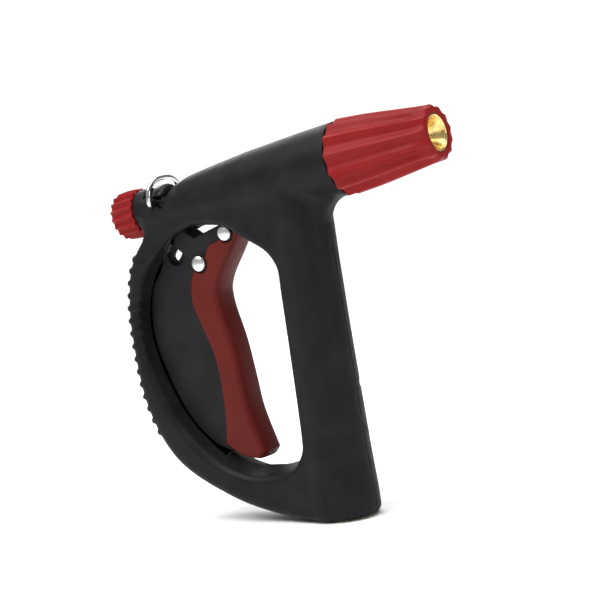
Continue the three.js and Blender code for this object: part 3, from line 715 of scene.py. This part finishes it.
def shell_screw(name, spot, seat, tip, turn):
    """A pan-head screw with a cross recess, driven in from the left side."""
    pitch = 1.2

    def field(x, y, z):
        radius = np.hypot(x, z)
        head = both(both(radius - 2.7, -y, 0.15), y - 2 + 0.08 * radius ** 2, 0.5)
        depth = between(y, tip - seat, 1)
        turns = y / pitch + np.arctan2(z, x) / (2 * math.pi)
        thread = 0.22 * np.abs(2 * np.mod(turns, 1) - 1)
        shank = both(radius - 1.28 - thread, depth, 0.3)
        arms = np.minimum(np.maximum(abs(x) - 0.42, abs(z) - 1.5), np.maximum(abs(z) - 0.42, abs(x) - 1.5))
        recess = np.maximum(arms, 0.9 - y)
        return without(either(head, shank, 0.2), recess, 0.12)

    screw = moulded(name, field, (-3, tip - seat, -3), (3, 2.2, 3), 0.24)
    place = Matrix.Translation(Vector((spot[0], seat, spot[1])) * MM)
    screw.data.transform(place @ Matrix.Rotation(turn, 4, "Y"))
    return screw


HOSE_BORE = 12.8
THREAD_PITCH = 25.4 / 11.5
THREAD_DEPTH = 0.95


def inlet_socket():
    outside = [(HOSE_BORE, 1.5, 0.3), (14.4, 1.5, 0.3), (14.4, 20, 0.4), (9.5, 20, 0.3), (9.5, 30, 0.4)]
    inside = [(7.8, 30, 0.3), (7.8, 20, 0), (6.2, 20, 0.2), (6.2, 17, 0.2), (9.4, 17, 0.2), (9.4, 15, 0.2),
              (HOSE_BORE, 15, 0.3)]
    profile = outside + inside

    def thread(radius, along, angle):
        wave = np.abs(2 * np.mod(along / THREAD_PITCH - angle / (2 * math.pi), 1) - 1)
        wave = np.clip(1.3 * wave - 0.15, 0, 1)
        on_bore = abs(radius - HOSE_BORE) < 0.05
        ends = np.clip((along - 1.8) / 1.5, 0, 1) * np.clip((14.6 - along) / 1.5, 0, 1)
        return radius + THREAD_DEPTH * wave * on_bore * ends

    return turned("socket_thread", divided(rounded(profile), 0.28), about_column, 96, thread)


def hose_washer():
    profile = [(8, 12, 0.5), (12.6, 12, 0.5), (12.6, 14.7, 0.5), (8, 14.7, 0.5)]
    return turned("washer_ring", divided(rounded(profile), 0.6), about_column, 96)


def inlet_screen():
    """A perforated disc."""
    pitch = 1.5

    def field(x, y, z):
        u, v = np.mod(x, pitch) - pitch / 2, np.mod(y + pitch / 2, pitch) - pitch / 2
        holes = np.maximum(np.hypot(u, v) - 0.52, np.hypot(x, y) - 8)
        disc = both(np.hypot(x, y) - 9.1, between(z, 15.3, 15.9), 0.15)
        return without(disc, np.minimum(holes, np.hypot(x, y) - 1.5), 0.08)

    return moulded("screen_disc", field, (-9.2, -9.2, 15.2), (9.2, 9.2, 16), 0.2)


# ---------- materials ----------
class Shader:
    """A Principled material and the few kinds of node that the materials here are made of."""

    def __init__(self, name, roughness, metallic=0.0, **sockets):
        self.material = bpy.data.materials.new(name)
        self.material.use_nodes = True
        self.tree = self.material.node_tree
        self.main = self.tree.nodes["Principled BSDF"]
        self.main.inputs["Metallic"].default_value = metallic
        self.main.inputs["Roughness"].default_value = roughness
        for socket, value in sockets.items():
            self.main.inputs[socket.replace("_", " ")].default_value = value
        self.place = self.tree.nodes.new("ShaderNodeTexCoord").outputs["Object"]
        self.last_bump = None

    def node(self, kind, **settings):
        made = self.tree.nodes.new("ShaderNode" + kind)
        for key, value in settings.items():
            setattr(made, key, value)
        return made

    def link(self, source, target):
        self.tree.links.new(source, target)

    def moved(self, scale=(1, 1, 1), turn=(0, 0, 0)):
        """The object's coordinates, turned and then stretched."""
        turned_by = self.node("Mapping")
        turned_by.inputs["Rotation"].default_value = turn
        self.link(self.place, turned_by.inputs["Vector"])
        stretched = self.node("Mapping")
        stretched.inputs["Scale"].default_value = scale
        self.link(turned_by.outputs["Vector"], stretched.inputs["Vector"])
        return stretched.outputs["Vector"]

    def noise(self, size_mm, detail=3.0, vector=None):
        made = self.node("TexNoise")
        made.inputs["Scale"].default_value = 1 / (size_mm * MM)
        made.inputs["Detail"].default_value = detail
        self.link(vector or self.place, made.inputs["Vector"])
        return made.outputs["Fac"]

    def cells(self, size_mm):
        made = self.node("TexVoronoi")
        made.inputs["Scale"].default_value = 1 / (size_mm * MM)
        self.link(self.place, made.inputs["Vector"])
        return made.outputs["Distance"]

    def spread(self, value, low, high, start=0.0, end=1.0):
        """A value from low..high taken to start..end."""
        made = self.node("MapRange")
        for socket, number in (("From Min", low), ("From Max", high), ("To Min", start), ("To Max", end)):
            made.inputs[socket].default_value = number
        self.link(value, made.inputs["Value"])
        return made.outputs["Result"]

    def worn(self, low=0.52, high=0.62):
        """How sharp an outward edge is."""
        return self.spread(self.node("NewGeometry").outputs["Pointiness"], low, high)

    def parting_line(self, half_mm):
        """1 in a thin line on the middle plane, where two mouldings meet, and 0 away from it."""
        parts = self.node("SeparateXYZ")
        self.link(self.place, parts.inputs["Vector"])
        away = self.node("Math", operation="ABSOLUTE")
        self.link(parts.outputs["Y"], away.inputs[0])
        return self.spread(away.outputs[0], 0.4 * half_mm * MM, half_mm * MM, 1, 0)

    def times(self, a, b):
        made = self.node("Math", operation="MULTIPLY")
        self.link(a, made.inputs[0])
        self.link(b, made.inputs[1])
        return made.outputs[0]

    def colours(self, share, first, second):
        """A colour that goes from the first to the second."""
        made = self.node("Mix", data_type="RGBA")
        made.inputs["A"].default_value = (*first, 1) if isinstance(first, tuple) else (0, 0, 0, 1)
        if not isinstance(first, tuple):
            self.link(first, made.inputs["A"])
        made.inputs["B"].default_value = (*second, 1)
        self.link(share, made.inputs["Factor"])
        return made.outputs["Result"]

    def paint(self, colour):
        self.link(colour, self.main.inputs["Base Color"])
        return colour

    def rough(self, value):
        self.link(value, self.main.inputs["Roughness"])

    def bump(self, height, depth_mm, strength=1.0):
        made = self.node("Bump")
        made.inputs["Distance"].default_value = depth_mm * MM
        made.inputs["Strength"].default_value = strength
        self.link(height, made.inputs["Height"])
        if self.last_bump is not None:
            self.link(self.last_bump, made.inputs["Normal"])
        self.last_bump = made.outputs["Normal"]
        self.link(self.last_bump, self.main.inputs["Normal"])


def moulded_plastic(name, colour, lighter, roughness, shine=0.25, grain_mm=0.45, grain=0.035, wear=0.35,
                    parting_mm=None):
    """Spark-eroded plastic: a fine grain, faint flow marks, polished high spots and paler worn edges."""
    s = Shader(name, roughness, Specular_IOR_Level=shine)
    flow = s.spread(s.noise(14, 4), 0.35, 0.7)
    body = s.colours(flow, colour, tuple(0.86 * c + 0.14 * l for c, l in zip(colour, lighter)))
    scuff = s.times(s.worn(), s.spread(s.noise(2.2, 5), 0.4, 0.7, 0, wear))
    body = s.colours(scuff, body, lighter)
    if parting_mm is not None:
        line = s.parting_line(parting_mm)
        body = s.colours(line, body, tuple(0.1 * c for c in colour))
        s.bump(line, -0.5)
    s.paint(body)
    s.rough(s.spread(s.noise(5, 5), 0.3, 0.7, roughness - 0.06, roughness + 0.07))
    s.bump(s.noise(grain_mm, 2), grain)
    s.bump(s.noise(6, 2), 0.05, 0.6)
    return s.material


def glossy_plastic(name, colour):
    s = Shader(name, 0.36, Specular_IOR_Level=0.25)
    s.paint(s.colours(s.noise(7, 3), colour, tuple(1.6 * c for c in colour)))
    s.rough(s.spread(s.noise(3, 5), 0.3, 0.7, 0.30, 0.44))
    s.bump(s.noise(4, 2), 0.04, 0.7)
    return s.material


def turned_brass(name):
    """Brass with tool marks round its axis, and a little tarnish."""
    s = Shader(name, 0.25, 1.0)
    tarnish = s.spread(s.noise(3.5, 6), 0.45, 0.75)
    s.paint(s.colours(tarnish, (0.83, 0.62, 0.24), (0.56, 0.36, 0.11)))
    s.rough(s.spread(s.noise(1.2, 5), 0.3, 0.75, 0.16, 0.36))
    marks = s.noise(1, 3, s.moved((3.2, 0.02, 0.02), (0, TILT, 0)))
    s.bump(marks, 0.03, 0.8)
    s.bump(s.noise(0.5, 3), 0.012)
    return s.material


def polished_steel(name):
    """A pressed rivet or pin: bright, with fine scratches and shallow dents."""
    s = Shader(name, 0.24, 1.0)
    s.paint(s.colours(s.spread(s.noise(1.3, 5), 0.35, 0.7), (0.80, 0.80, 0.81), (0.55, 0.55, 0.57)))
    s.rough(s.spread(s.noise(0.8, 5), 0.3, 0.7, 0.18, 0.40))
    s.bump(s.noise(1.6, 3), 0.06, 0.7)
    s.bump(s.noise(0.25, 4), 0.008)
    return s.material


def plated_wire(name):
    s = Shader(name, 0.06, 1.0)
    s.paint(s.colours(s.noise(2, 3), (0.72, 0.73, 0.75), (0.52, 0.53, 0.55)))
    s.rough(s.spread(s.noise(1.5, 5), 0.35, 0.75, 0.03, 0.14))
    s.bump(s.noise(1.8, 2), 0.012)
    return s.material


def cast_metal(name):
    s = Shader(name, 0.5, 1.0)
    s.paint(s.colours(s.noise(2.5, 6), (0.50, 0.51, 0.52), (0.34, 0.35, 0.36)))
    s.rough(s.spread(s.noise(1.0, 5), 0.3, 0.7, 0.40, 0.62))
    s.bump(s.cells(0.7), 0.05, 0.8)
    s.bump(s.noise(3, 3), 0.06)
    return s.material


def moulded_rubber(name):
    s = Shader(name, 0.78)
    s.paint(s.colours(s.noise(2, 5), (0.013, 0.013, 0.014), (0.032, 0.032, 0.033)))
    s.rough(s.spread(s.noise(1.5, 4), 0.3, 0.7, 0.68, 0.88))
    s.bump(s.noise(0.3, 3), 0.02)
    return s.material


def painted_floor():
    s = Shader("floor_paint", 0.7)
    s.paint(s.colours(s.noise(60, 3), (0.93, 0.93, 0.93), (0.96, 0.96, 0.96)))
    s.bump(s.noise(2, 2), 0.02)
    return s.material


MATERIALS = {
    "shell_black": moulded_plastic(
        "shell_black", (0.0054, 0.0054, 0.0068), (0.040, 0.041, 0.045), 0.50, 0.14, parting_mm=0.6),
    "lever_black": moulded_plastic(
        "lever_black", (0.0074, 0.0082, 0.0088), (0.045, 0.048, 0.050), 0.48, 0.15, grain_mm=0.6),
    "yoke_black": glossy_plastic("yoke_black", (0.004, 0.004, 0.0045)),
    "tip_red": moulded_plastic(
        "tip_red", (0.215, 0.007, 0.008), (0.36, 0.03, 0.028), 0.45, 0.12, grain_mm=0.5, grain=0.02),
    "grip_red": moulded_plastic(
        "grip_red", (0.090, 0.006, 0.004), (0.18, 0.025, 0.02), 0.50, 0.16, grain_mm=0.5),
    "brass": turned_brass("brass"),
    "cast_zinc": cast_metal("cast_zinc"),
    "steel": polished_steel("steel"),
    "chrome": plated_wire("chrome"),
    "rubber": moulded_rubber("rubber"),
}


# ---------- assembly ----------
def show(piece, body, slot, *nodes):
    """A made piece stands for CAD nodes, rides on their body and takes its finish."""
    piece.data.materials.clear()
    piece.data.materials.append(MATERIALS[slot])
    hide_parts(*nodes)
    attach(piece, body)


right_shell, left_shell = part_shells()
show(right_shell, "handle", "shell_black", "shell_right")
show(left_shell, "handle", "shell_black", "shell_left")

show(twist_tip(), "tip", "tip_red", "twist_tip")
show(brass_nozzle(), "nozzle", "brass", "brass_nozzle")
show(flow_knob(), "knob", "tip_red", "flow_knob")

trigger_plate, trigger_shell, link_bar = trigger_pieces()
show(trigger_plate, "trigger", "lever_black", "trigger_lever")
show(trigger_shell, "trigger", "grip_red", "trigger_grip")
show(link_bar, "link", "lever_black", "pull_link")
show(rivet("rivet_pivot", PIVOT), "handle", "steel", "pivot_rivet")
show(rivet("rivet_link", LINK_LOW), "trigger", "steel", "link_rivet")

show(stem_yoke(), "stem", "yoke_black", "stem_yoke")
show(bail(), "bail", "chrome", "bail_wire")
for number, (spot, seat, tip) in enumerate(SCREWS, 1):
    screw = shell_screw(f"screw_{number}", spot, seat, tip, 0.7 * number)
    show(screw, "handle", "steel", f"shell_screw_{number}")

show(inlet_socket(), "handle", "brass", "inlet_socket")
show(hose_washer(), "handle", "rubber", "hose_washer")
show(inlet_screen(), "handle", "steel", "inlet_screen")

CARRIED_OVER = {
    "water_body": "cast_zinc",
    "tube_o_ring": "rubber",
    "packing_ring": "rubber",
    "packing_nut": "brass",
    "stem_spring": "steel",
    "tip_o_ring": "rubber",
    "valve_stem": "brass",
    "valve_seal": "rubber",
    "stem_clip": "steel",
    "yoke_pin": "steel",
    "knob_screw": "brass",
}
for node, slot in CARRIED_OVER.items():
    data = frame["nodes"][node].data
    data.materials.clear()
    data.materials.append(MATERIALS[slot])


# ---------- stage ----------
AZIMUTH = math.radians(34)
ELEVATION = math.radians(5)
ROLL = math.radians(8.6)
DISTANCE = 0.9
LENS = 108
LOOK_AT = Vector((-0.00955, 0, 0.11047))
DARK_SIDE = 0.05                 # of the light from all round, which comes mostly from above
LIGHT_SIDE = 0.5
OVERHEAD = 2.7


def add_camera():
    away = Vector((math.sin(AZIMUTH) * math.cos(ELEVATION), -math.cos(AZIMUTH) * math.cos(ELEVATION),
                   math.sin(ELEVATION)))
    level = Vector((math.cos(AZIMUTH), math.sin(AZIMUTH), 0))
    upright = away.cross(level)
    right = math.cos(ROLL) * level - math.sin(ROLL) * upright
    up = math.sin(ROLL) * level + math.cos(ROLL) * upright
    camera = bpy.data.objects.new("camera", bpy.data.cameras.new("camera"))
    camera.data.lens = LENS
    turn = Matrix((right, up, away)).transposed().to_4x4()
    camera.matrix_world = Matrix.Translation(LOOK_AT + DISTANCE * away) @ turn
    bpy.context.scene.collection.objects.link(camera)
    bpy.context.scene.camera = camera


def add_light(name, place, size, power):
    """A square soft box that points at the middle of the handle."""
    lamp = bpy.data.objects.new(name, bpy.data.lights.new(name, "AREA"))
    lamp.data.size = size
    lamp.data.energy = power
    lamp.location = place
    lamp.rotation_euler = (Vector((-0.04, 0, 0.1)) - Vector(place)).to_track_quat("-Z", "Y").to_euler()
    bpy.context.scene.collection.objects.link(lamp)


def add_floor():
    mesh = bpy.data.meshes.new("floor")
    work = bmesh.new()
    bmesh.ops.create_grid(work, x_segments=8, y_segments=8, size=6)
    work.to_mesh(mesh)
    work.free()
    floor = bpy.data.objects.new("floor", mesh)
    floor.location.z = -0.0002
    mesh.materials.append(painted_floor())
    bpy.context.scene.collection.objects.link(floor)


def add_world():
    """Soft light from all round, with a backdrop that the camera sees as white."""
    world = bpy.data.worlds.new("studio")
    world.use_nodes = True
    tree = world.node_tree
    light = tree.nodes["Background"]
    direction = tree.nodes.new("ShaderNodeTexCoord")
    towards = tree.nodes.new("ShaderNodeVectorMath")
    towards.operation = "DOT_PRODUCT"
    towards.inputs[1].default_value = Vector((-0.4, -0.3, 0.85)).normalized()
    strength = tree.nodes.new("ShaderNodeMapRange")
    strength.inputs["From Min"].default_value = -0.8
    strength.inputs["To Min"].default_value = DARK_SIDE
    strength.inputs["To Max"].default_value = LIGHT_SIDE
    tree.links.new(direction.outputs["Generated"], towards.inputs[0])
    tree.links.new(towards.outputs["Value"], strength.inputs["Value"])
    tree.links.new(strength.outputs["Result"], light.inputs["Strength"])
    backdrop = tree.nodes.new("ShaderNodeBackground")
    backdrop.inputs["Strength"].default_value = 1.05
    for background in (light, backdrop):
        background.inputs["Color"].default_value = (1, 1, 1, 1)
    choice = tree.nodes.new("ShaderNodeMixShader")
    ray = tree.nodes.new("ShaderNodeLightPath")
    tree.links.new(ray.outputs["Is Camera Ray"], choice.inputs["Fac"])
    tree.links.new(light.outputs["Background"], choice.inputs[1])
    tree.links.new(backdrop.outputs["Background"], choice.inputs[2])
    tree.links.new(choice.outputs["Shader"], tree.nodes["World Output"].inputs["Surface"])
    bpy.context.scene.world = world
    bpy.context.scene.view_settings.view_transform = "Standard"


def add_sky_light():
    """A wide soft light from straight overhead, which lights the floor evenly."""
    lamp = bpy.data.objects.new("overhead", bpy.data.lights.new("overhead", "SUN"))
    lamp.data.angle = math.radians(70)
    lamp.data.energy = OVERHEAD
    bpy.context.scene.collection.objects.link(lamp)


add_camera()
add_floor()
add_world()
add_sky_light()
add_light("key", (-0.35, -0.6, 1.0), 0.6, 8)
add_light("rim", (-0.7, 0.7, 0.7), 0.5, 3)
add_light("front", (0.9, -0.25, 0.3), 0.25, 1.2)
